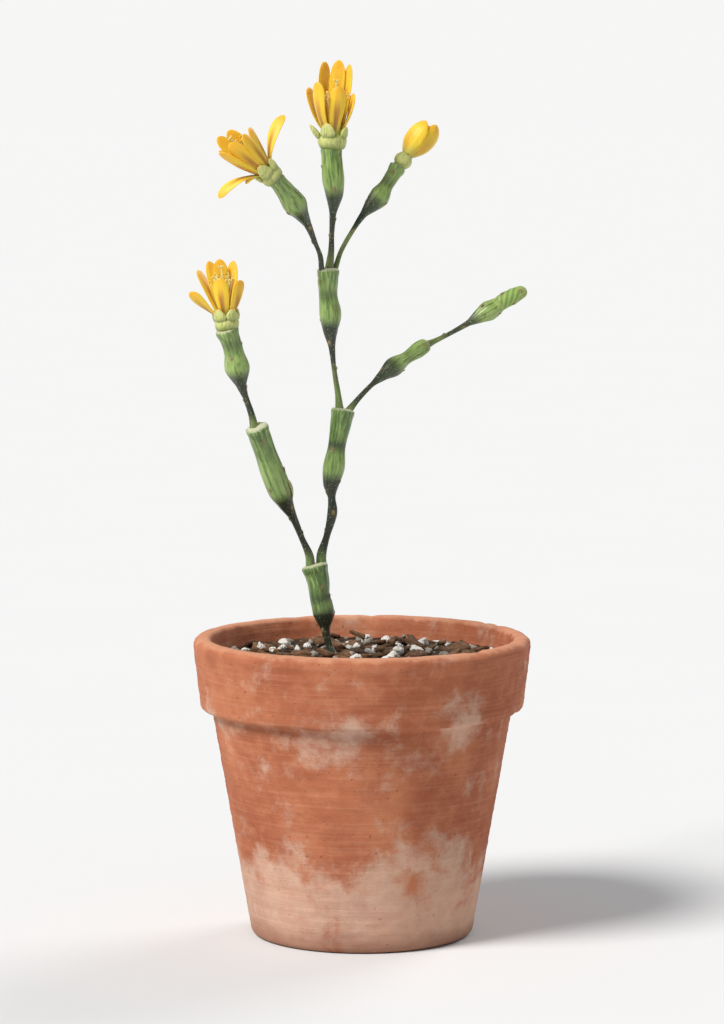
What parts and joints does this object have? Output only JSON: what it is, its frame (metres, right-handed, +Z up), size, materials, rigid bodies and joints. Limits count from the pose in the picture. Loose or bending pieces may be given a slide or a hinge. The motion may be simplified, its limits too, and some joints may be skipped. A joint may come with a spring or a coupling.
{
  "type": "potted dancing bones cactus",
  "caption": "Dancing bones cactus in flower: branching bottle-shaped green joints tipped with yellow blooms, in gritty mix in a plain tapered clay pot with a rim and drain hole.",
  "frame": {"origin": "centre of the pot's underside, on the surface that it stands on", "axes": "+Z up, -Y towards the front and +X to the viewer's right"},
  "size_m": [0.061, 0.061, 0.1572],
  "materials": {
    "clay": "unglazed terracotta, matt and dusty",
    "crock": "broken terracotta shard, matt",
    "potting_mix": "bark, peat and grit, rough",
    "stem": "waxy green skin with corky brown necks",
    "shoot": "fresh pale green skin",
    "cup": "fleshy, pale yellow green",
    "petal": "thin satin petal, golden yellow",
    "stamen": "pale yellow threads and pollen"
  },
  "bodies": {
    "root": {"pot": "clay", "drain_crock": "crock", "potting_mix": "potting_mix", "stem_base": "stem", "stem_left_lower": "stem", "stem_left_upper": "stem", "stem_trunk_middle": "stem", "stem_trunk_upper": "stem", "stem_right_inner": "stem", "stem_right_outer": "stem", "stem_right_shoot": "shoot", "stem_top_middle": "stem", "stem_top_left": "stem", "stem_top_right": "stem", "flower_left_cup": "cup", "flower_left_petals": "petal", "flower_left_stamens": "stamen", "flower_top_left_cup": "cup", "flower_top_left_petals": "petal", "flower_top_left_stamens": "stamen", "flower_top_middle_cup": "cup", "flower_top_middle_petals": "petal", "flower_top_middle_stamens": "stamen", "bud_cup": "cup", "bud_petals": "petal"}
  },
  "joints": []
}
